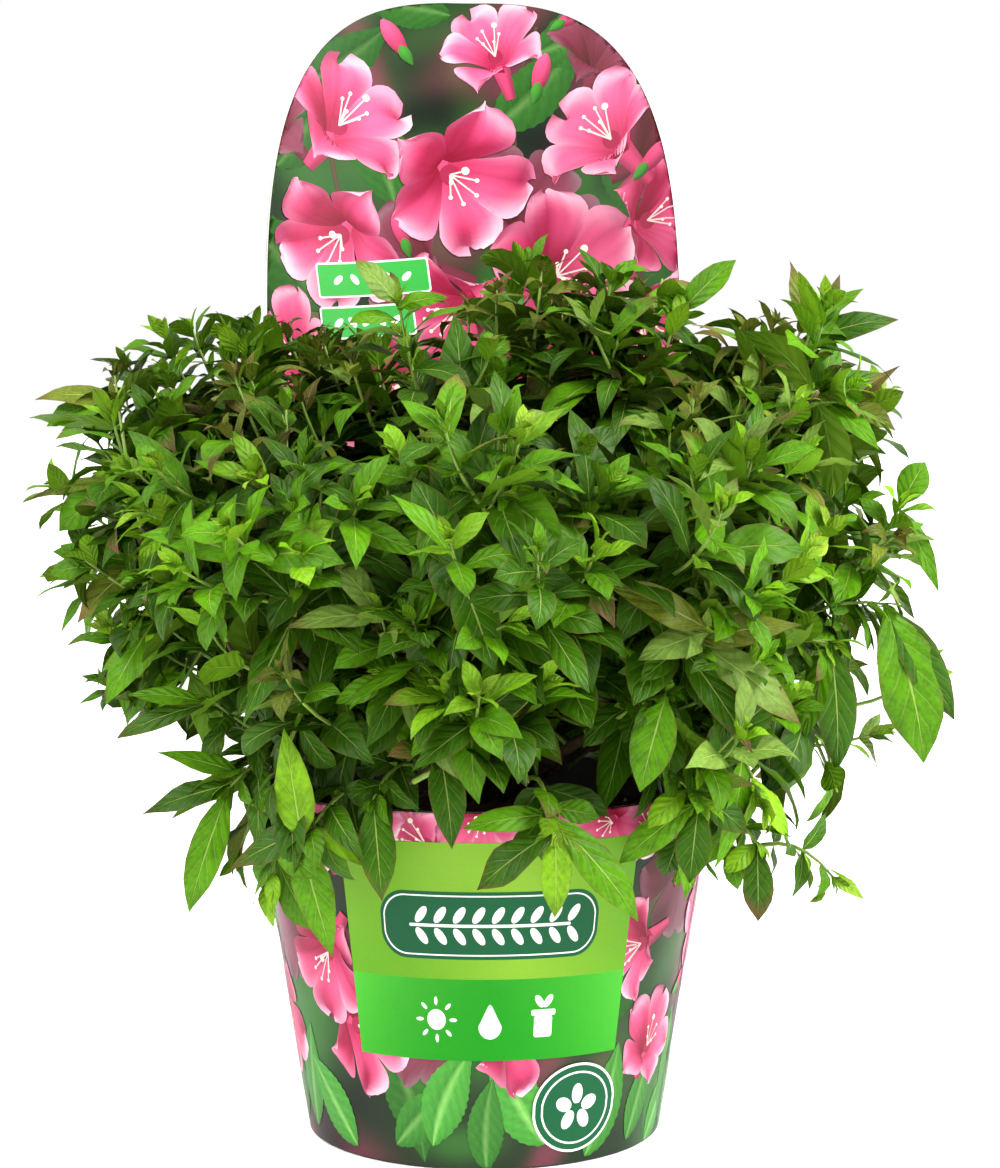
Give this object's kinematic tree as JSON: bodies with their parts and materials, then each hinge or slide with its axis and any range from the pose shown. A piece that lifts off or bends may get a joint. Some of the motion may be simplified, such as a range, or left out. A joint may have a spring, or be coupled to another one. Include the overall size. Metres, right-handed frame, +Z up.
{
  "type": "potted weigela shrub",
  "caption": "Young dwarf weigela shrub with a broad leafy crown, growing in a round nursery pot inside a printed wrap with a tall arched back panel.",
  "frame": {"origin": "centre of the flat underside of the pot", "axes": "+Z up, -Y towards the front of the printed label, +Y towards the back panel, +X to the right seen from the front"},
  "size_m": [0.3761, 0.315, 0.4849],
  "materials": {
    "pot": "black moulded nursery pot",
    "wrap": "coated card with a satin full-colour print",
    "soil": "moist crumbly potting compost",
    "bark": "young fissured bark",
    "leaf": "satin green leaves"
  },
  "bodies": {
    "root": {"pot": "pot", "root_ball": "soil", "printed_wrap": "wrap", "main_stem": "bark", "bough_top_middle": "bark", "bough_top_left": "bark", "bough_top_right": "bark", "bough_top_front": "bark", "bough_top_back": "bark", "bough_upper_left": "bark", "bough_upper_front_left": "bark", "bough_upper_front": "bark", "bough_upper_front_right": "bark", "bough_upper_right": "bark", "bough_upper_back_right": "bark", "bough_upper_back_left": "bark", "bough_lower_left": "bark", "bough_lower_front_left": "bark", "bough_lower_front": "bark", "bough_lower_front_right": "bark", "bough_lower_right": "bark", "leaves_top_middle": "leaf", "leaves_top_left": "leaf", "leaves_top_right": "leaf", "leaves_top_front": "leaf", "leaves_top_back": "leaf", "leaves_upper_left": "leaf", "leaves_upper_front_left": "leaf", "leaves_upper_front": "leaf", "leaves_upper_front_right": "leaf", "leaves_upper_right": "leaf", "leaves_upper_back_right": "leaf", "leaves_upper_back_left": "leaf", "leaves_lower_left": "leaf", "leaves_lower_front_left": "leaf", "leaves_lower_front": "leaf", "leaves_lower_front_right": "leaf", "leaves_lower_right": "leaf", "leaves_edge_right": "leaf", "leaves_hanging_left": "leaf", "leaves_hanging_front_left": "leaf", "leaves_hanging_front": "leaf", "leaves_hanging_front_right": "leaf", "leaves_hanging_right": "leaf"}
  },
  "joints": []
}
